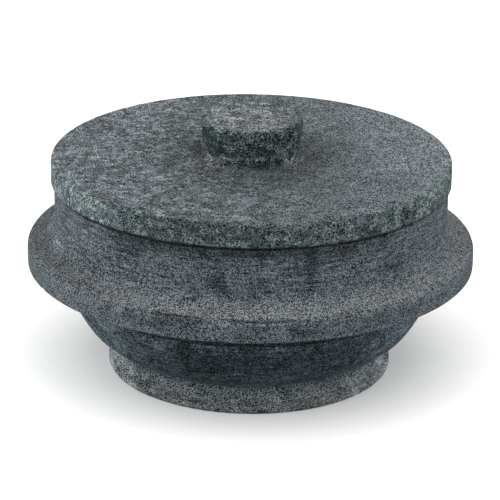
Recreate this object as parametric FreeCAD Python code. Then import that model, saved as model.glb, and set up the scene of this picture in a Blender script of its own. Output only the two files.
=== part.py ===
"""A lidded pot turned from soft grey stone: a flanged pot on a foot, and a flat lid with its own knob.

Units are millimetres. The origin is the centre of the foot's resting face, and +Z is up, along the
axis that both pieces were turned on. Each piece is one outline, in radius and height, revolved once.
"""
import FreeCAD, Part
import math
import os

# Driving dimensions: radii are measured from the turning axis, heights from the resting face.
FLANGE_R = 102.5
FOOT_R = 65.5
NECK_R = 90.0
MOUTH_R = 76.0
RIM_Z = 89.0
LID_R = 91.4
LID_THICKNESS = 11.25
KNOB_HEIGHT = 18.1

# Foot: a flared ring under the bowl, with a shallow turned recess inside it.
FOOT_BAND = 4.0
FOOT_RING_WIDTH = 12.0
RECESS_DEPTH = 2.5
RECESS_SLOPE = 3.0
WAIST_R = 60.0
WAIST_Z = 11.4
FLARE_BULGE = 1.6

# Bowl: a tight round at the bottom that runs into a steep, nearly straight side.
HIP_R = 74.3
HIP_Z = 20.5
HIP_BULGE = 0.9
BOWL_R = 86.8
SIDE_BULGE = 2.0

# Flange: a thick rim all round, flat below, sloping and coved up to the neck above.
FLANGE_Z = 49.6
FLANGE_EDGE_Z = 60.6
FLANGE_SLOPE_R = 97.0
FLANGE_SLOPE_Z = 62.3
COVE_TOP_Z = 71.2

# Cavity: a straight wall that rounds into a flat floor.
CAVITY_CURVE_Z = 56.0
CAVITY_FLOOR_R = 42.0
FLOOR_Z = 19.0

# Lid: the register drops into the mouth, and the rest lies on the pot's rim.
REGISTER_DEPTH = 5.5
REGISTER_CLEARANCE = 1.4

# Knob: undercut at its foot, then nearly straight up to its widest, just under its flat top.
KNOB_BASE_R = 19.8
KNOB_SIDE_R = 22.4
KNOB_SIDE_FOOT = 4.6
KNOB_R = 23.3
KNOB_WIDEST = 15.5
KNOB_TOP_R = 20.6

# Rounded edges.
SOFT_EDGE = 1.0
FOOT_BAND_EDGE = 0.8
WAIST_FILLET = 2.0
HIP_FILLET = 14.0
FLANGE_LOWER_EDGE = 1.3
FLANGE_UPPER_EDGE = 4.0
UNDER_FLANGE_FILLET = 2.0
LID_TOP_EDGE = 2.0
KNOB_BASE_FILLET = 1.6
KNOB_SIDE_FILLET = 4.0

# How closely an edge's radius and height have to match for it to be rounded.
EDGE_TOLERANCE = 0.01


def point(r, z):
    """A point of an outline, in the plane that holds the turning axis."""
    return FreeCAD.Vector(r, 0, z)


def bulged(start, end, bulge):
    """The arc from start to end whose middle stands off the straight line, to its right if positive."""
    dr = end[0] - start[0]
    dz = end[1] - start[1]
    chord = math.hypot(dr, dz)
    middle_r = (start[0] + end[0]) / 2 + bulge * dz / chord
    middle_z = (start[1] + end[1]) / 2 - bulge * dr / chord
    return Part.Arc(point(*start), point(middle_r, middle_z), point(*end)).toShape()


def straight(*corners):
    """The straight lines that join the corners in turn."""
    ends = [point(*corner) for corner in corners]
    return [Part.makeLine(a, b) for a, b in zip(ends, ends[1:])]


def cove(start, end):
    """The hollow arc from start to end that arrives running straight up."""
    dr = start[0] - end[0]
    dz = end[1] - start[1]
    radius = (dr * dr + dz * dz) / (2 * dr)
    centre_r = end[0] + radius
    half_turn = math.asin(dz / radius) / 2
    middle_r = centre_r - radius * math.cos(half_turn)
    middle_z = end[1] - radius * math.sin(half_turn)
    return Part.Arc(point(*start), point(middle_r, middle_z), point(*end)).toShape()


def turned(edges):
    """The solid of revolution of a closed outline about the turning axis."""
    face = Part.Face(Part.Wire(edges))
    up = FreeCAD.Vector(0, 0, 1)
    return face.revolve(FreeCAD.Vector(0, 0, 0), up, 360)


def rounded(solid, corners):
    """The solid with each round edge at (radius, height) given a fillet of its own size."""
    for r, z, fillet in corners:
        found = []
        for edge in solid.Edges:
            curve = edge.Curve
            if not isinstance(curve, Part.Circle):
                continue
            if abs(curve.Radius - r) < EDGE_TOLERANCE and abs(curve.Center.z - z) < EDGE_TOLERANCE:
                found.append(edge)
        solid = solid.makeFillet(fillet, found)
    return solid.Solids[0]


def cavity_edge():
    """The quarter ellipse, taller than wide, that joins the straight cavity wall to the floor."""
    centre = point(CAVITY_FLOOR_R, CAVITY_CURVE_Z)
    side = point(MOUTH_R, CAVITY_CURVE_Z)
    bottom = point(CAVITY_FLOOR_R, FLOOR_Z)
    return Part.Arc(Part.Ellipse(bottom, side, centre), 0, math.pi / 2).toShape()


def stone_pot():
    """The pot: foot, bowl, flange and neck outside, one round-bottomed cavity inside."""
    ring_inner_r = FOOT_R - FOOT_RING_WIDTH
    recess_r = ring_inner_r - RECESS_SLOPE
    foot_top = (FOOT_R, FOOT_BAND)
    waist = (WAIST_R, WAIST_Z)
    hip = (HIP_R, HIP_Z)
    under_flange = (BOWL_R, FLANGE_Z)
    slope_end = (FLANGE_SLOPE_R, FLANGE_SLOPE_Z)
    neck_foot = (NECK_R, COVE_TOP_Z)
    edges = straight((0, RECESS_DEPTH), (recess_r, RECESS_DEPTH), (ring_inner_r, 0), (FOOT_R, 0), foot_top)
    edges.append(bulged(foot_top, waist, -FLARE_BULGE))
    edges.append(bulged(waist, hip, HIP_BULGE))
    edges.append(bulged(hip, under_flange, SIDE_BULGE))
    edges += straight(under_flange, (FLANGE_R, FLANGE_Z), (FLANGE_R, FLANGE_EDGE_Z), slope_end)
    edges.append(cove(slope_end, neck_foot))
    edges += straight(neck_foot, (NECK_R, RIM_Z), (MOUTH_R, RIM_Z), (MOUTH_R, CAVITY_CURVE_Z))
    edges.append(cavity_edge())
    edges += straight((CAVITY_FLOOR_R, FLOOR_Z), (0, FLOOR_Z), (0, RECESS_DEPTH))
    corners = [
        (FOOT_R, 0, SOFT_EDGE),
        (FOOT_R, FOOT_BAND, FOOT_BAND_EDGE),
        (WAIST_R, WAIST_Z, WAIST_FILLET),
        (HIP_R, HIP_Z, HIP_FILLET),
        (BOWL_R, FLANGE_Z, UNDER_FLANGE_FILLET),
        (FLANGE_R, FLANGE_Z, FLANGE_LOWER_EDGE),
        (FLANGE_R, FLANGE_EDGE_Z, FLANGE_UPPER_EDGE),
        (NECK_R, RIM_Z, SOFT_EDGE),
        (MOUTH_R, RIM_Z, SOFT_EDGE),
    ]
    return rounded(turned(edges), corners)


def stone_lid():
    """The lid: a flat disc with a register below and a knob above, all one piece of stone."""
    top_z = RIM_Z + LID_THICKNESS
    register_r = MOUTH_R - REGISTER_CLEARANCE
    register_z = RIM_Z - REGISTER_DEPTH
    knob_base = (KNOB_BASE_R, top_z)
    knob_side = (KNOB_SIDE_R, top_z + KNOB_SIDE_FOOT)
    knob_widest = (KNOB_R, top_z + KNOB_WIDEST)
    knob_top = (KNOB_TOP_R, top_z + KNOB_HEIGHT)
    edges = straight((0, register_z), (register_r, register_z), (register_r, RIM_Z), (LID_R, RIM_Z))
    edges += straight((LID_R, RIM_Z), (LID_R, top_z), knob_base)
    edges += straight(knob_base, knob_side, knob_widest)
    edges.append(bulged(knob_widest, knob_top, SOFT_EDGE))
    edges += straight(knob_top, (0, knob_top[1]), (0, register_z))
    corners = [
        (register_r, register_z, SOFT_EDGE),
        (LID_R, RIM_Z, SOFT_EDGE / 2),
        (LID_R, top_z, LID_TOP_EDGE),
        (KNOB_BASE_R, top_z, KNOB_BASE_FILLET),
        (KNOB_SIDE_R, top_z + KNOB_SIDE_FOOT, KNOB_SIDE_FILLET),
    ]
    return rounded(turned(edges), corners)


def main():
    os.makedirs("parts", exist_ok=True)
    for name, solid in (("stone_pot", stone_pot()), ("stone_lid", stone_lid())):
        solid.exportStep(os.path.join("parts", name + ".step"))
        box = solid.optimalBoundingBox()
        size = [round(length, 2) for length in (box.XLength, box.YLength, box.ZLength)]
        print(name, solid.ShapeType, "valid", solid.isValid(), "mm3", round(solid.Volume), "box", size)


main()
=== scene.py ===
"""The looks of a lidded pot turned from soft grey stone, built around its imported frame.

Both stones are one closed turned surface each. Their outlines are read from the frame's own solids,
then the surface gets what a lathe and years of use leave: a little wobble, tool lines, pits and
chipped edges. All lengths are in metres.
"""
import bmesh
import bpy
import math
import numpy as np
from mathutils import Matrix, Vector, noise


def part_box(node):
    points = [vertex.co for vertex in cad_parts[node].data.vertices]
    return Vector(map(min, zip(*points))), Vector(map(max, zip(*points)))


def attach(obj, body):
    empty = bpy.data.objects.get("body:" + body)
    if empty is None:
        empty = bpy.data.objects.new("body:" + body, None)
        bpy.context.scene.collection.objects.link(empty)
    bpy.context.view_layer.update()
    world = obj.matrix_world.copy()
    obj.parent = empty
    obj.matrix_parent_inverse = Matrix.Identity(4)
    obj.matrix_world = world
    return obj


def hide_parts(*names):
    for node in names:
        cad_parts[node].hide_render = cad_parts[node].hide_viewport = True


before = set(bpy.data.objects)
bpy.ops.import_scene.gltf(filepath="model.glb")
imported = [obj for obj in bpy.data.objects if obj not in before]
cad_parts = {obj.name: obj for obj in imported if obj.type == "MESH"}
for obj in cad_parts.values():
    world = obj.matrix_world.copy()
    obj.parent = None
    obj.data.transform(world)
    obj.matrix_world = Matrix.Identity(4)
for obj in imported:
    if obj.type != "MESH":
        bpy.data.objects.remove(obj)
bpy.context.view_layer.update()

MM = 0.001

pot_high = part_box("stone_pot")[1]
lid_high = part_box("stone_lid")[1]
RIM_Z = pot_high.z
LID_R = lid_high.x
TOP_Z = lid_high.z
KNOB_HEIGHT = 18.1 * MM
DISC_TOP_Z = TOP_Z - KNOB_HEIGHT

# How finely the turned surfaces are divided: columns round the axis, and steps along the outline.
AROUND = 380
FINE_STEP = 0.95 * MM
COARSE_STEP = 3.2 * MM
DENSE_STEP = 0.2 * MM
CORNER_TURN = math.radians(25)

# An edge is an outward turn of the outline, measured this far to each side of a point.
EDGE_REACH = 2.2 * MM
FULL_EDGE_TURN = math.radians(60)

# Tool lines are this long round the axis, so they don't change on their way round the pot.
TOOL_LINE_LENGTH = 160.0


# ---------------------------------------------------------------- outlines

def cad_outline(node):
    """The (radius, height) points of a node's outline, from its lower to its upper point on the axis."""
    cut_angle = math.radians(7)
    same_point = 0.001 * MM
    along = Vector((math.cos(cut_angle), math.sin(cut_angle), 0))
    across = Vector((-along.y, along.x, 0))
    solid = bmesh.new()
    solid.from_mesh(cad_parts[node].data)
    bmesh.ops.remove_doubles(solid, verts=solid.verts, dist=same_point)
    everything = solid.verts[:] + solid.edges[:] + solid.faces[:]
    cut = bmesh.ops.bisect_plane(solid, geom=everything, plane_co=(0, 0, 0), plane_no=across)
    solid.verts.index_update()
    beside = {}
    crossings = []
    for edge in cut["geom_cut"]:
        if not isinstance(edge, bmesh.types.BMEdge):
            continue
        ends = [(vert.co.dot(along), vert.co.z, vert.index) for vert in edge.verts]
        for here, there in (ends, ends[::-1]):
            beside.setdefault(here, []).append(there)
        if ends[0][0] * ends[1][0] < 0:
            crossings.append(sorted(ends))
    solid.free()
    crossings.sort(key=lambda pair: pair[0][1])
    axis_points = [(0.0, pair[0][1]) for pair in crossings]
    before, here = crossings[0]
    points = [axis_points[0]]
    while here[0] > 0:
        points.append(here[:2])
        onward = [place for place in beside[here] if place != before]
        before, here = here, onward[0]
    points.append(axis_points[-1])
    return np.array(points)


def resampled(points, step_at):
    """The outline with points about step_at(radius, height) apart, its sharp corners kept."""
    runs = np.diff(points, axis=0)
    heading = np.unwrap(np.arctan2(runs[:, 1], runs[:, 0]))
    corners = np.flatnonzero(np.abs(np.diff(heading)) > CORNER_TURN) + 1
    stops = [0, *corners, len(points) - 1]
    made = []
    for first, last in zip(stops, stops[1:]):
        stretch = points[first:last + 1]
        lengths = np.hypot(*np.diff(stretch, axis=0).T)
        reached = np.concatenate([[0], np.cumsum(lengths)])
        places = np.linspace(0, reached[-1], max(3, int(reached[-1] / DENSE_STEP)))
        dense = points_along(stretch, reached, places)
        steps = np.array([step_at(r, z) for r, z in dense])
        count = np.concatenate([[0], np.cumsum(np.diff(places) / steps[1:])])
        wanted = np.linspace(0, count[-1], max(2, int(round(count[-1])) + 1))
        at = np.interp(wanted, count, places)
        made.append(points_along(dense, places, at)[:-1])
    made.append(points[-1:])
    return np.concatenate(made)


def points_along(points, reached, wanted):
    """The points of a line at the wanted lengths, where reached is the length up to each of its points."""
    return np.stack([np.interp(wanted, reached, points[:, axis]) for axis in (0, 1)], axis=1)


class Outline:
    """An outline with what the surface needs at each point: length so far, edges and normal."""

    def __init__(self, node, step_at):
        points = resampled(cad_outline(node), step_at)
        self.r = points[:, 0]
        self.z = points[:, 1]
        lengths = np.hypot(np.diff(self.r), np.diff(self.z))
        self.along = np.concatenate([[0], np.cumsum(lengths)])
        heading = np.unwrap(np.arctan2(np.diff(self.z), np.diff(self.r)))
        middle = (self.along[1:] + self.along[:-1]) / 2
        turned = np.interp(self.along + EDGE_REACH, middle, heading)
        turned -= np.interp(self.along - EDGE_REACH, middle, heading)
        self.edge = np.clip(turned / FULL_EDGE_TURN, 0, 1)
        at_point = np.interp(self.along, middle, heading)
        self.normal_r = np.sin(at_point)
        self.normal_z = -np.cos(at_point)


# ---------------------------------------------------------------- turned surfaces

def smooth(value, low, high):
    """0 at low and 1 at high, with a smooth rise between."""
    t = np.clip((value - low) / (high - low), 0, 1)
    return t * t * (3 - 2 * t)


def noise_at(points, octaves):
    """Smooth noise, about -1 to 1, with features one unit across, at each row of an array."""
    octave_fade = 1.0
    octave_step = 2.0
    return np.array([noise.fractal(Vector(p), octave_fade, octave_step, octaves) for p in points])


def all_round(values):
    """One value for each row, repeated at every angle."""
    return np.repeat(values[:, None], AROUND, axis=1)


class Turned:
    """A surface of revolution as arrays: one row for each outline point, one column for each angle.

    The two points on the axis have no row: the mesh gets them as its two poles.
    """

    def __init__(self, outline):
        self.rows = len(outline.r) - 2
        self.pole_heights = (outline.z[0], outline.z[-1])
        self.r = all_round(outline.r[1:-1])
        self.z = all_round(outline.z[1:-1])
        self.along = all_round(outline.along[1:-1])
        self.edge = all_round(outline.edge[1:-1])
        self.normal_r = all_round(outline.normal_r[1:-1])
        self.normal_z = all_round(outline.normal_z[1:-1])
        angles = np.arange(AROUND) * 2 * math.pi / AROUND
        self.theta = np.repeat(angles[None, :], self.rows, axis=0)
        self.x = self.r * np.cos(self.theta)
        self.y = self.r * np.sin(self.theta)
        self.ahead = -np.sin(self.theta)
        self.lift = np.zeros_like(self.r)

    def solid_noise(self, size, seed, octaves=1):
        """Noise through the stone, with features of one size each way."""
        points = np.stack([self.x, self.y, self.z], axis=-1).reshape(-1, 3) / size + seed
        return noise_at(points, octaves).reshape(self.r.shape)

    def tool_lines(self, width, seed, octaves):
        """Noise drawn out round the axis, with lines of one width along the outline."""
        squeeze = 1 / TOOL_LINE_LENGTH
        points = np.stack([self.x * squeeze, self.y * squeeze, self.along / width], axis=-1)
        return noise_at(points.reshape(-1, 3) + seed, octaves).reshape(self.r.shape)

    def facing(self, angle, spread):
        """1 on the side that faces an angle in degrees, falling smoothly to 0 at spread degrees from it."""
        away = np.abs((np.degrees(self.theta) - angle + 180) % 360 - 180)
        return 1 - smooth(away, 0, spread)

    def mesh(self, name, **attributes):
        """The closed mesh, with the surface moved along its normals by lift."""
        r = self.r + self.normal_r * self.lift
        z = self.z + self.normal_z * self.lift
        ring_points = np.stack([r * np.cos(self.theta), r * np.sin(self.theta), z], axis=-1)
        poles = [[0, 0, height] for height in self.pole_heights]
        points = np.concatenate([poles, ring_points.reshape(-1, 3)])
        ring = np.arange(self.rows * AROUND).reshape(self.rows, AROUND) + len(poles)
        onward = np.roll(ring, -1, axis=1)
        quads = np.stack([ring[:-1], onward[:-1], onward[1:], ring[1:]], axis=-1).reshape(-1, 4)
        faces = quads.tolist()
        faces += [(0, int(b), int(a)) for a, b in zip(ring[0], onward[0])]
        faces += [(1, int(a), int(b)) for a, b in zip(ring[-1], onward[-1])]
        mesh = bpy.data.meshes.new(name)
        mesh.from_pydata(points.tolist(), [], faces)
        for label, values in {"along": self.along, "ahead": self.ahead, **attributes}.items():
            at_poles = [values[0].mean(), values[-1].mean()]
            data = np.concatenate([at_poles, values.ravel()]).astype(np.float32)
            mesh.attributes.new(label, "FLOAT", "POINT").data.foreach_set("value", data)
        mesh.shade_smooth()
        mesh.validate()
        piece = bpy.data.objects.new(name, mesh)
        bpy.context.scene.collection.objects.link(piece)
        return piece


# ---------------------------------------------------------------- the two stones

def wear(body, wobble, waves, pits, seed):
    """What the lathe and years of use leave on a whole surface, each to its own depth."""
    uneven = body.solid_noise(size=65 * MM, seed=seed)
    tooled = body.tool_lines(width=2.4 * MM, seed=seed + 11, octaves=2)
    pitted = body.solid_noise(size=3.1 * MM, seed=seed + 5, octaves=2)
    body.lift -= wobble * smooth(uneven, -0.6, 0.6)
    body.lift -= waves * smooth(tooled, -0.6, 0.6)
    body.lift -= pits * smooth(pitted, 0.40, 0.75)


def build_pot():
    """The pot: foot, bowl, flange and neck outside, cavity inside."""
    cavity_r = 77 * MM
    cavity_low_z = 27 * MM
    cavity_high_z = RIM_Z - 12 * MM
    floor_r = 63 * MM
    floor_z = 16 * MM
    recess_z = 3 * MM
    chip_depth = 0.18 * MM

    def step_at(r, z):
        wall = cavity_low_z < z < cavity_high_z and r < cavity_r
        floor = z > floor_z and r < floor_r
        underneath = z < recess_z and r < floor_r
        return COARSE_STEP if wall or floor or underneath else FINE_STEP

    body = Turned(Outline("stone_pot", step_at))
    wear(body, wobble=0.22 * MM, waves=0.09 * MM, pits=0.18 * MM, seed=3.1)
    chips = smooth(body.solid_noise(size=5 * MM, seed=8.9, octaves=3), 0.25, 0.8)
    body.lift -= chip_depth * chips * body.edge
    rim_row = np.flatnonzero(body.z[:, 0] > RIM_Z - 0.1 * MM)[-1]
    outside = all_round((np.arange(body.rows) <= rim_row).astype(float))
    return body.mesh("turned_pot", outside=outside, right=np.cos(body.theta))


def wear_lid(body, knob):
    """What wear leaves, with chips, most on the front upper edge, and with lumps on the rough knob."""
    chip_depth = 1.0 * MM
    lump_depth = 0.45 * MM
    least_chipped = 0.10
    wear(body, wobble=0.18 * MM, waves=0.05 * MM, pits=0.18 * MM, seed=2.2)
    chips = smooth(body.solid_noise(size=4.5 * MM, seed=28.9, octaves=3), 0.1, 0.7)
    front_edge = smooth(body.ahead, 0, 0.8) * smooth(body.z, RIM_Z + 4 * MM, RIM_Z + 7 * MM)
    chipped = least_chipped + (1 - least_chipped) * front_edge
    body.lift -= chip_depth * chipped * chips * body.edge
    lumps = smooth(body.solid_noise(size=5 * MM, seed=7.7, octaves=2), -0.2, 0.7)
    body.lift -= lump_depth * knob * lumps


def darkening_round_knob(body):
    """Darkening on the disc round the knob, most of it in front."""
    behind = 0.35
    ragged_r = body.r + 5 * MM * body.solid_noise(size=15 * MM, seed=51.3, octaves=3)
    near = 1 - smooth(ragged_r, 24 * MM, 60 * MM)
    return near * (behind + (1 - behind) * body.facing(-75, 120))


def knob_foot_highlights(body):
    """Two arcs of painted highlight at the foot of the knob, at its left and right."""
    arcs = body.facing(-140, 50) + body.facing(-25, 30)
    low = smooth(body.z, DISC_TOP_Z + 5 * MM, DISC_TOP_Z + 2.5 * MM)
    close = smooth(body.r, 27 * MM, 23 * MM)
    return arcs * low * close * smooth(body.solid_noise(size=3 * MM, seed=17.7, octaves=2), -0.5, 0.2)


def disc_middle(body):
    """A broad band over the lid from front to back, with ragged sides, where painted shade darkens the top.
    """
    aside = np.abs(body.x) + 6 * MM * body.solid_noise(size=20 * MM, seed=61.3, octaves=2)
    return smooth(aside, 54 * MM, 32 * MM)


def build_lid():
    """The lid: disc, register and knob."""
    underside_z = RIM_Z + 0.5 * MM
    register_r = 74 * MM

    def step_at(r, z):
        return FINE_STEP if z > underside_z or r > register_r else COARSE_STEP

    body = Turned(Outline("stone_lid", step_at))
    knob = smooth(body.z, DISC_TOP_Z + 0.5 * MM, DISC_TOP_Z + 2.5 * MM)
    disc = 1 - knob
    upright = np.where(knob > 0, smooth(body.normal_r, 0.1, 0.5), smooth(body.normal_r, 0.35, 0.8))
    wear_lid(body, knob)
    masks = {"side": upright * disc, "knob_side": upright * knob, "knob_top": (1 - upright) * knob}
    # Arcs of painted highlight at the knob's foot.
    masks["highlight_arcs"] = knob_foot_highlights(body)
    # The disc is darker round the knob, most of all in front.
    masks["round_knob_dark"] = darkening_round_knob(body) * disc
    # A band over the top for painted shade.
    masks["middle"] = disc_middle(body) * disc
    return body.mesh("turned_lid", sideways=body.x / LID_R, **masks)


# ---------------------------------------------------------------- materials

# Sizes of what the stone is made of.
CRYSTAL = 0.34 * MM
GRAIN = 0.75 * MM
FLECK = 3.2 * MM
STREAK = 1.0 * MM
BLOTCH = 13 * MM
CLOUD = 50 * MM
FLAKE = 2.8 * MM

# Streaks follow the turning: distances level with the floor count only this much, which draws them out.
STREAK_SQUEEZE = 0.09

# Each colour is a stone's usual one, and each tint multiplies it.
POT_GREY = (0.0452, 0.0578, 0.0690)
LID_GREY = (0.0578, 0.0712, 0.0825)
# The warm tint of the painted highlight on the flange's slope.
SLOPE_WARMTH = (1.11, 1.0, 0.94)
FOOT_WARMTH = (1.06, 1.0, 0.94)
BOWL_BLUE = (0.88, 1.0, 1.07)
STAIN_BLUE = (0.90, 1.0, 1.08)
ROUGH_GREEN = (0.90, 1.03, 1.02)
FLAKE_YELLOW = (1.10, 1.02, 0.92)
KNOB_WARMTH = (1.04, 1.0, 0.98)
# The warm tint of the painted highlight arcs at the knob's foot.
HIGHLIGHT_WARMTH = (1.14, 1.0, 0.99)


class Shader:
    """A material's nodes, with a short call for each kind that the stone needs."""

    def __init__(self, name):
        self.material = bpy.data.materials.new(name)
        self.material.use_nodes = True
        self.tree = self.material.node_tree
        self.surface = self.tree.nodes["Principled BSDF"]

    def node(self, kind, inputs=(), **settings):
        """A new node, with its settings and with values or other nodes' outputs fed to its inputs."""
        made = self.tree.nodes.new("ShaderNode" + kind)
        for label, value in settings.items():
            setattr(made, label, value)
        for socket, value in inputs:
            self.feed(made.inputs[socket], value)
        return made

    def feed(self, socket, value):
        """Link a node's output to a socket, or set the socket to a plain value."""
        if isinstance(value, bpy.types.NodeSocket):
            self.tree.links.new(value, socket)
        else:
            socket.default_value = value

    def maths(self, operation, a, b):
        return self.node("Math", [(0, a), (1, b)], operation=operation).outputs[0]

    def vector_maths(self, operation, a, label, b):
        """A vector operation on a, with b fed to the input of that label."""
        return self.node("VectorMath", [(0, a), (label, b)], operation=operation).outputs[0]

    def scaled(self, value, low, high, to_low, to_high):
        """The value moved in proportion from one range to another, and held within it."""
        pairs = [("Value", value), ("From Min", low), ("From Max", high)]
        pairs += [("To Min", to_low), ("To Max", to_high)]
        return self.node("MapRange", pairs).outputs["Result"]

    def attribute(self, name):
        return self.node("Attribute", attribute_name=name).outputs["Fac"]

    def noise(self, place, size, detail=2.0, roughness=0.6):
        """Smooth noise around 0.5, with features of one size."""
        pairs = [("Vector", place), ("Scale", 1 / size), ("Detail", detail), ("Roughness", roughness)]
        return self.node("TexNoise", pairs).outputs[0]

    def crystals(self, place, size):
        """One value from 0 to 1 for each crystal."""
        cells = self.node("TexVoronoi", [("Vector", place), ("Scale", 1 / size)]).outputs["Color"]
        return self.node("SeparateColor", [(0, cells)]).outputs[0]

    def stretched(self, place, shift, height):
        """A place moved by shift, where features come out 1 / height times as tall."""
        pairs = [("Vector", place), ("Location", shift), ("Scale", (1, 1, height))]
        return self.node("Mapping", pairs).outputs[0]

    def ramp(self, value, stops):
        """The colour between (place, colour) stops that a value falls on."""
        made = self.node("ValToRGB", [("Fac", value)])
        ramp = made.color_ramp
        while len(ramp.elements) < len(stops):
            ramp.elements.new(0.5)
        for element, (place, colour) in zip(ramp.elements, stops):
            element.position = place
            element.color = (*colour, 1)
        return made.outputs["Color"]

    def mix(self, share, a, b, blend="MIX"):
        """Colour a with a share of colour b mixed into it."""
        made = self.node("Mix", data_type="RGBA", blend_type=blend)
        for socket, value in ((made.inputs[0], share), (made.inputs[6], a), (made.inputs[7], b)):
            self.feed(socket, value)
        return made.outputs[2]


def tones(grey):
    """Five tones from a stone's darkest grains to its palest, around its usual grey.

    The palest are a little warmer than the grey, and the darkest a little bluer.
    """
    warmth = 0.24
    shares = ((0.0, 0.08), (0.25, 0.38), (0.5, 1.0), (0.75, 1.9), (1.0, 3.2))
    red, green, blue = grey
    made = []
    for place, share in shares:
        warm = 1 + warmth * (place - 0.5)
        made.append((place, (red * share * warm, green * share, blue * share / warm)))
    return made


class Stone(Shader):
    """Fine-grained stone: crystals, grain, flecks, streaks along the turning, blotches and clouds.

    Its value runs from 0 for the darkest grains to 1 for the palest. Marks then make whole places
    darker or paler, by doublings, without flattening the grain.
    """

    def __init__(self, name, coarseness):
        super().__init__(name)
        self.solid = self.node("TexCoord").outputs["Object"]
        split = self.node("SeparateXYZ", [(0, self.solid)]).outputs
        self.z = split["Z"]
        self.turned = self.along_the_turning(split["X"], split["Y"])
        self.ahead = self.attribute("ahead")
        self.front = self.rise(self.ahead, 0.55, 0.98)
        self.crystal = self.crystals(self.solid, CRYSTAL * coarseness)
        self.grain = self.noise(self.solid, GRAIN * coarseness, roughness=0.7)
        self.flecks = self.noise(self.solid, FLECK)
        self.streaks = self.noise(self.turned, STREAK)
        self.blotches = self.noise(self.solid, BLOTCH, detail=3.0)
        self.clouds = self.noise(self.solid, CLOUD, roughness=0.5)
        self.value = 0.5
        self.doublings = 0.0
        self.vary(self.crystal, 1.80)
        self.vary(self.grain, 0.45)
        self.vary(self.flecks, 0.60)
        self.vary(self.streaks, 0.75)
        self.vary(self.blotches, 0.60)
        self.vary(self.clouds, 0.30)

    def along_the_turning(self, x, y):
        """The point in a space drawn out round the axis, for streaks."""
        pairs = [("X", self.maths("MULTIPLY", x, STREAK_SQUEEZE))]
        pairs.append(("Y", self.maths("MULTIPLY", y, STREAK_SQUEEZE)))
        pairs.append(("Z", self.attribute("along")))
        return self.node("CombineXYZ", pairs).outputs[0]

    def centred(self, layer):
        """A layer of noise, moved so that it goes as far below 0 as above it."""
        return self.maths("SUBTRACT", layer, 0.5)

    def vary(self, layer, weight):
        """Shift the value both ways with a layer of noise."""
        shift = self.maths("MULTIPLY", self.centred(layer), weight)
        self.value = self.maths("ADD", self.value, shift)

    def paler(self, by, *masks):
        """Make the stone paler, by so many doublings where every mask is 1."""
        change = self.maths("MULTIPLY", self.both(*masks), by)
        self.doublings = self.maths("ADD", self.doublings, change)

    def darker(self, by, *masks):
        """Make the stone darker, by so many halvings where every mask is 1."""
        self.paler(-by, *masks)

    def uneven(self, by, layer, *masks):
        """Make the stone paler and darker with a layer of noise, where every mask is 1."""
        self.paler(by, *masks, self.centred(layer))

    def both(self, *masks):
        """1 where every mask is 1."""
        made = masks[0]
        for mask in masks[1:]:
            made = self.maths("MULTIPLY", made, mask)
        return made

    def rise(self, value, low, high):
        """0 below low and 1 above high, with a smooth rise between."""
        pairs = [("Value", value), ("From Min", low), ("From Max", high)]
        return self.node("MapRange", pairs, interpolation_type="SMOOTHSTEP").outputs["Result"]

    def fall(self, value, low, high):
        """1 below low and 0 above high, with a smooth fall between."""
        return self.maths("SUBTRACT", 1.0, self.rise(value, low, high))

    def band(self, value, low, high, soft):
        """1 between two levels, with soft borders."""
        return self.both(self.rise(value, low - soft, low + soft), self.fall(value, high - soft, high + soft))

    def flakes(self, size, raggedness):
        """One value from 0 to 1 for each of many ragged flakes."""
        tangles_to_a_flake = 3
        middle = (0.5, 0.5, 0.5)
        pairs = [("Vector", self.solid), ("Scale", tangles_to_a_flake / size)]
        tangle = self.node("TexNoise", pairs).outputs["Color"]
        pushed = self.vector_maths("SUBTRACT", tangle, 1, middle)
        pushed = self.vector_maths("SCALE", pushed, "Scale", raggedness)
        return self.crystals(self.vector_maths("ADD", self.solid, 1, pushed), size)

    def tint(self, colour, where, tint):
        """The colour multiplied by a tint where the mask is 1."""
        return self.mix(where, colour, self.mix(1.0, colour, (*tint, 1), "MULTIPLY"))

    def coloured(self, grey):
        """The stone's colour, with its grain and its marks."""
        grained = self.ramp(self.value, tones(grey))
        return self.mix(1.0, grained, self.maths("POWER", 2.0, self.doublings), "MULTIPLY")

    def finish(self, colour):
        """The material, with a bump and a roughness that follow the grain."""
        height = self.maths("MULTIPLY", self.crystal, 0.35)
        height = self.maths("ADD", height, self.grain)
        height = self.maths("ADD", height, self.maths("MULTIPLY", self.streaks, 0.5))
        bump = self.node("Bump", [("Height", height), ("Strength", 0.6), ("Distance", 0.4 * MM)])
        self.feed(self.surface.inputs["Normal"], bump.outputs[0])
        self.feed(self.surface.inputs["Base Color"], colour)
        self.feed(self.surface.inputs["Roughness"], self.scaled(self.grain, 0.3, 0.7, 0.70, 0.95))
        self.feed(self.surface.inputs["Specular IOR Level"], 0.04)
        return self.material


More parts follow.
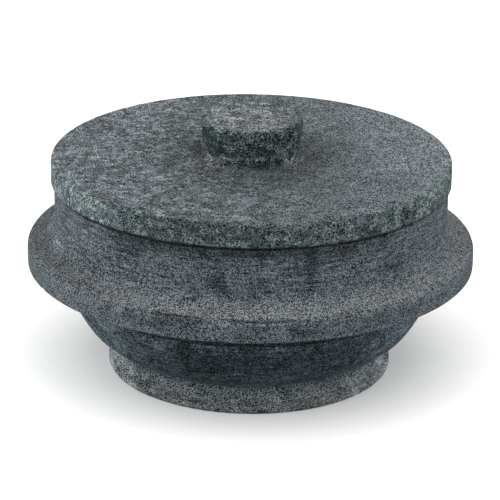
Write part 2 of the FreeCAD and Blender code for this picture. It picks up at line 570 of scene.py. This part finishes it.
class PotStone(Stone):
    """The pot's stone, marked zone by zone. The zones' ragged borders follow its blotches."""

    def __init__(self):
        super().__init__("pot_stone", coarseness=0.9)
        raggedness = 3 * MM
        self.outside = self.attribute("outside")
        sideways = self.attribute("right")
        self.right = self.rise(sideways, 0.1, 0.7)
        self.left = self.fall(sideways, -0.8, -0.4)
        self.broad_left = self.fall(sideways, -0.6, -0.1)
        self.beside = self.fall(self.ahead, 0.3, 0.8)
        push = self.scaled(self.blotches, 0.3, 0.7, -raggedness, raggedness)
        self.ragged_z = self.maths("ADD", self.z, push)

    def mark_bowl(self):
        """The bowl is dark, partly its own colour and partly painted shade, with more painted shade in front,
        at the right and on the belly. Its crystals and streaks stand out.
        """
        above_foot = self.rise(self.ragged_z, 8 * MM, 20 * MM)
        below_flange = self.fall(self.ragged_z, 43 * MM, 50 * MM)
        bowl = self.both(self.outside, above_foot, below_flange)
        belly = self.band(self.ragged_z, 22 * MM, 37 * MM, 2.5 * MM)
        under_flange = self.band(self.ragged_z, 39 * MM, 47 * MM, 2 * MM)
        # Painted shade, partly the bowl's own dark colour: darker all round, most of all in front and at the
        # right.
        self.darker(0.75, bowl)
        self.darker(1.45, bowl, self.front)
        self.darker(0.30, bowl, self.right)
        self.uneven(2.6, self.crystal, bowl)
        self.uneven(3.0, self.streaks, bowl)
        self.uneven(2.0, self.blotches, bowl)
        self.uneven(2.0, self.flecks, bowl)
        # Painted shade on the belly in front; just under the flange the front is made a little paler again.
        self.darker(0.35, self.outside, self.front, belly)
        self.paler(0.35, self.outside, under_flange, self.front)
        return bowl

    def mark_foot(self):
        """The foot has painted light, most of all at the sides, and painted shade in front, most of all along
        its lower edge.
        """
        foot = self.both(self.outside, self.fall(self.z, 5.5 * MM, 10.5 * MM))
        lower_edge = self.fall(self.z, 2 * MM, 6 * MM)
        # Painted light: the foot is paler, and paler again at the sides.
        self.paler(0.85, foot)
        self.uneven(2.5, self.blotches, foot)
        self.paler(0.55, foot, self.beside)
        # Painted shade: the foot darker in front, and along its lower edge in front.
        self.darker(0.40, foot, self.front)
        self.darker(0.30, self.outside, self.front, lower_edge)
        return foot

    def mark_slope(self):
        """The flange's coved slope gets a painted highlight, except on the left."""
        above_face = self.rise(self.z, 59.5 * MM, 61.5 * MM)
        below_neck = self.fall(self.ragged_z, 61 * MM, 67 * MM)
        slope = self.both(self.outside, above_face, below_neck)
        # Painted highlight on the slope, cancelled on the left and a little stronger at the right.
        self.paler(0.45, slope)
        self.darker(0.45, slope, self.left)
        self.paler(0.10, slope, self.right, self.beside)
        return slope

    def mark_neck_and_face(self):
        """The neck is streaked and darkens upwards, partly dirt and partly painted shadow of the lid; it has
        painted shade in front and painted light on the left and in the cove at the sides. The flange's face
        has painted shade in front and at the right.
        """
        neck = self.both(self.outside, self.rise(self.ragged_z, 64.5 * MM, 69.5 * MM))
        face = self.both(self.outside, self.band(self.z, 50 * MM, 57.5 * MM, 1 * MM))
        cove = self.band(self.ragged_z, 66 * MM, 69.5 * MM, 1 * MM)
        upper_neck = self.rise(self.ragged_z, 77 * MM, 86 * MM)
        front_upper_neck = self.rise(self.ragged_z, 79 * MM, 85 * MM)
        below_rim = self.rise(self.z, 84 * MM, 87 * MM)
        # Painted shade: the neck darker in front.
        self.darker(0.40, neck, self.front)
        self.uneven(2.4, self.streaks, neck)
        # Painted shade: the flange's face darker in front and at the right.
        self.darker(0.35, face, self.front)
        self.darker(0.20, face, self.right)
        # Partly dirt and partly painted shadow of the lid: the upper neck darker, most of all in front and
        # just below the rim.
        self.darker(0.15, self.outside, upper_neck)
        self.darker(0.50, self.outside, self.front, front_upper_neck)
        self.darker(0.60, self.outside, self.front, below_rim)
        # Painted light on the left of the neck, and a painted highlight in the cove at the sides.
        self.paler(0.10, neck, self.broad_left)
        self.paler(0.55, self.outside, self.beside, cove)

    def mark_stains(self):
        """Dark stains: tall ones on the neck, most of all in front, and flat ones on the flange's face."""
        place = (0.366, 0.0, 0.138)
        on_neck = self.both(self.outside, self.rise(self.z, 62 * MM, 67 * MM))
        on_face = self.both(self.outside, self.band(self.z, 52 * MM, 60 * MM, 1 * MM))
        tall = self.noise(self.stretched(self.solid, place, 0.5), 13 * MM, detail=4.0, roughness=0.65)
        flat = self.noise(self.stretched(self.solid, place, 2.2), 15 * MM, detail=4.0, roughness=0.65)
        mostly_front = self.scaled(self.front, 0, 1, 0.35, 1.0)
        stain = self.both(self.rise(tall, 0.49, 0.66), on_neck, mostly_front)
        self.darker(0.95, stain)
        self.darker(0.8, self.rise(flat, 0.48, 0.62), on_face, self.front)
        return stain

    def mark_lines(self):
        """Broken dark tool lines in front, painted shadow on the bowl under the flange, and a painted shadow
        line along the rim's outer edge under the lid.
        """
        ahead_only = self.rise(self.ahead, 0.88, 0.95)
        broken = self.rise(self.noise(self.turned, 4 * MM, roughness=0.5), 0.38, 0.56)
        below_rim = self.band(self.z, 84.8 * MM, 85.8 * MM, 0.3 * MM)
        shoulder = self.band(self.z, 59.3 * MM, 60.5 * MM, 0.3 * MM)
        below_shoulder = self.band(self.z, 57.3 * MM, 57.9 * MM, 0.3 * MM)
        flange_shadow = self.both(self.outside, self.band(self.z, 40.8 * MM, 50.2 * MM, 0.5 * MM))
        rim_edge = self.band(self.z, RIM_Z - 1.3 * MM, RIM_Z - 0.35 * MM, 0.2 * MM)
        for line, depth in ((below_rim, 1.6), (shoulder, 1.8), (below_shoulder, 1.0)):
            self.darker(depth, line, self.outside, broken, ahead_only)
        # Painted shadow on the bowl under the flange, deeper in front.
        self.darker(0.9, flange_shadow)
        self.darker(0.9, flange_shadow, self.front)
        # Painted shadow of the gap under the lid, along the rim's outer edge.
        self.darker(1.2, self.outside, rim_edge)


def pot_stone():
    """The pot's stone: a dark bluish bowl, a paler foot and slope, and a stained neck."""
    stone = PotStone()
    bowl = stone.mark_bowl()
    foot = stone.mark_foot()
    slope = stone.mark_slope()
    stone.mark_neck_and_face()
    stain = stone.mark_stains()
    stone.mark_lines()
    colour = stone.coloured(POT_GREY)
    # The painted highlight on the slope is tinted warm.
    colour = stone.tint(colour, slope, SLOPE_WARMTH)
    colour = stone.tint(colour, foot, FOOT_WARMTH)
    colour = stone.tint(colour, bowl, BOWL_BLUE)
    colour = stone.tint(colour, stain, STAIN_BLUE)
    return stone.finish(colour)


class LidStone(Stone):
    """The lid's stone: coarser than the pot's, flaked, with rough sides on the disc and the knob."""

    def __init__(self):
        super().__init__("lid_stone", coarseness=1.05)
        self.side = self.attribute("side")
        self.knob_side = self.attribute("knob_side")
        self.knob_top = self.attribute("knob_top")
        # Arcs of painted highlight at the knob's foot.
        self.highlight_arcs = self.attribute("highlight_arcs")
        self.sideways = self.attribute("sideways")
        self.rough = self.maths("ADD", self.side, self.knob_side)
        self.flake = self.flakes(FLAKE, raggedness=2.5 * MM)

    def mark_top(self):
        """The top is flaked on its left, has painted light at the outer right and the back and painted shade
        in a band down the middle, and is darker round the knob.
        """
        top = self.maths("SUBTRACT", 1.0, self.rough)
        left = self.fall(self.sideways, -0.3, 0.5)
        outer_right = self.rise(self.sideways, 0.45, 0.8)
        not_front = self.fall(self.ahead, 0.1, 0.6)
        back = self.fall(self.ahead, -0.95, -0.4)
        self.uneven(0.45, self.flake, top)
        self.uneven(1.10, self.flake, top, left)
        # Painted light: the top is paler at the outer right, away from the front, and at the back.
        self.paler(0.30, top, outer_right, not_front)
        self.paler(0.20, top, back)
        # Painted shade: a band down the middle of the top is darker.
        self.darker(0.30, top, self.attribute("middle"))
        # The disc is darker round the knob, most of all in front.
        self.darker(0.62, self.attribute("round_knob_dark"))

    def mark_side(self):
        """The disc's side is darker in front, partly dirt and partly painted shade, has painted light at the
        far left, and a painted shadow along its lower edge.
        """
        far_left = self.fall(self.sideways, -0.75, -0.4)
        lower_edge = self.fall(self.z, RIM_Z + 0.3 * MM, RIM_Z + 1.2 * MM)
        self.uneven(1.6, self.flake, self.rough)
        self.uneven(-1.0, self.crystal, self.side)
        self.darker(0.15, self.side)
        # Partly dirt and partly painted shade: the side darker in front.
        self.darker(0.65, self.side, self.front)
        # Painted light: the side paler at the far left.
        self.paler(0.55, self.side, far_left)
        # Painted shadow of the gap under the lid along the side's lower edge.
        self.darker(1.2, self.side, lower_edge)

    def mark_knob(self):
        """The knob's side is darkest, with a painted highlight at its foot and painted highlight arcs below
        it, and a lightly flaked top.
        """
        knob_foot = self.fall(self.z, TOP_Z - 14 * MM, TOP_Z - 9 * MM)
        self.uneven(1.2, self.crystal, self.knob_side)
        self.darker(1.3, self.knob_side)
        self.uneven(0.8, self.flake, self.knob_side)
        # Painted highlight: the foot of the knob's side is paler.
        self.paler(0.45, self.knob_side, knob_foot)
        # Painted highlight: two pale arcs at the knob's foot.
        self.paler(1.2, self.highlight_arcs)
        self.uneven(0.3, self.flake, self.knob_top)


def lid_stone():
    """The lid's stone, with a greener, rougher side and knob."""
    stone = LidStone()
    stone.mark_top()
    stone.mark_side()
    stone.mark_knob()
    pale_flakes = stone.rise(stone.flake, 0.5, 0.8)
    colour = stone.coloured(LID_GREY)
    colour = stone.tint(colour, stone.rough, ROUGH_GREEN)
    colour = stone.tint(colour, stone.both(stone.side, pale_flakes), FLAKE_YELLOW)
    colour = stone.tint(colour, stone.knob_top, KNOB_WARMTH)
    # The painted highlight arcs at the knob's foot are tinted warm.
    colour = stone.tint(colour, stone.highlight_arcs, HIGHLIGHT_WARMTH)
    return stone.finish(colour)


# ---------------------------------------------------------------- floor, light and camera

def build_stage():
    """A plain pale floor."""
    half = 6.0
    corners = [(-half, -half, 0), (half, -half, 0), (half, half, 0), (-half, half, 0)]
    mesh = bpy.data.meshes.new("floor")
    mesh.from_pydata(corners, [], [(0, 1, 2, 3)])
    floor = bpy.data.objects.new("floor", mesh)
    bpy.context.scene.collection.objects.link(floor)
    material = bpy.data.materials.new("floor")
    material.use_nodes = True
    surface = material.node_tree.nodes["Principled BSDF"]
    surface.inputs["Base Color"].default_value = (0.9, 0.9, 0.9, 1)
    surface.inputs["Roughness"].default_value = 0.9
    surface.inputs["Specular IOR Level"].default_value = 0.1
    mesh.materials.append(material)


def build_light():
    """A white surrounding and three broad lamps: one nearly overhead and one from each side."""
    scene = bpy.context.scene
    world = bpy.data.worlds.new("studio")
    scene.world = world
    world.use_nodes = True
    background = world.node_tree.nodes["Background"]
    background.inputs["Color"].default_value = (1, 1, 1, 1)
    background.inputs["Strength"].default_value = 0.85
    scene.view_settings.view_transform = "Standard"
    add_lamp("overhead", tilt=10, turn=0, power=1.3, spread=90)
    add_lamp("left", tilt=60, turn=-60, power=1.7, spread=70)
    add_lamp("right", tilt=58, turn=55, power=1.1, spread=70)


def add_lamp(name, tilt, turn, power, spread):
    """A far lamp, tilted from straight overhead and then turned, as wide as spread. All are in degrees."""
    lamp = bpy.data.lights.new(name, "SUN")
    lamp.energy = power
    lamp.angle = math.radians(spread)
    holder = bpy.data.objects.new(name, lamp)
    holder.rotation_euler = (math.radians(tilt), 0, math.radians(turn))
    bpy.context.scene.collection.objects.link(holder)


def build_camera():
    """A long lens, looking a little down on the pot."""
    elevation = math.radians(21.10)
    distance = 1.2336
    aim = Vector((-0.0002, 0, 0.0535))
    roll = math.radians(0.76)
    camera = bpy.data.cameras.new("camera")
    camera.lens = 192.6
    camera.sensor_width = 36
    holder = bpy.data.objects.new("camera", camera)
    back = Vector((0, -math.cos(elevation), math.sin(elevation)))
    holder.rotation_mode = "QUATERNION"
    turn = back.to_track_quat("Z", "Y") @ Matrix.Rotation(roll, 3, "Z").to_quaternion()
    holder.rotation_quaternion = turn
    holder.location = aim + back * distance
    bpy.context.scene.collection.objects.link(holder)
    bpy.context.scene.camera = holder


build_camera()
build_light()
build_stage()

pot = build_pot()
pot.data.materials.append(pot_stone())
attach(pot, "pot")
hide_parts("stone_pot")

lid = build_lid()
lid.data.materials.append(lid_stone())
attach(lid, "lid")
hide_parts("stone_lid")
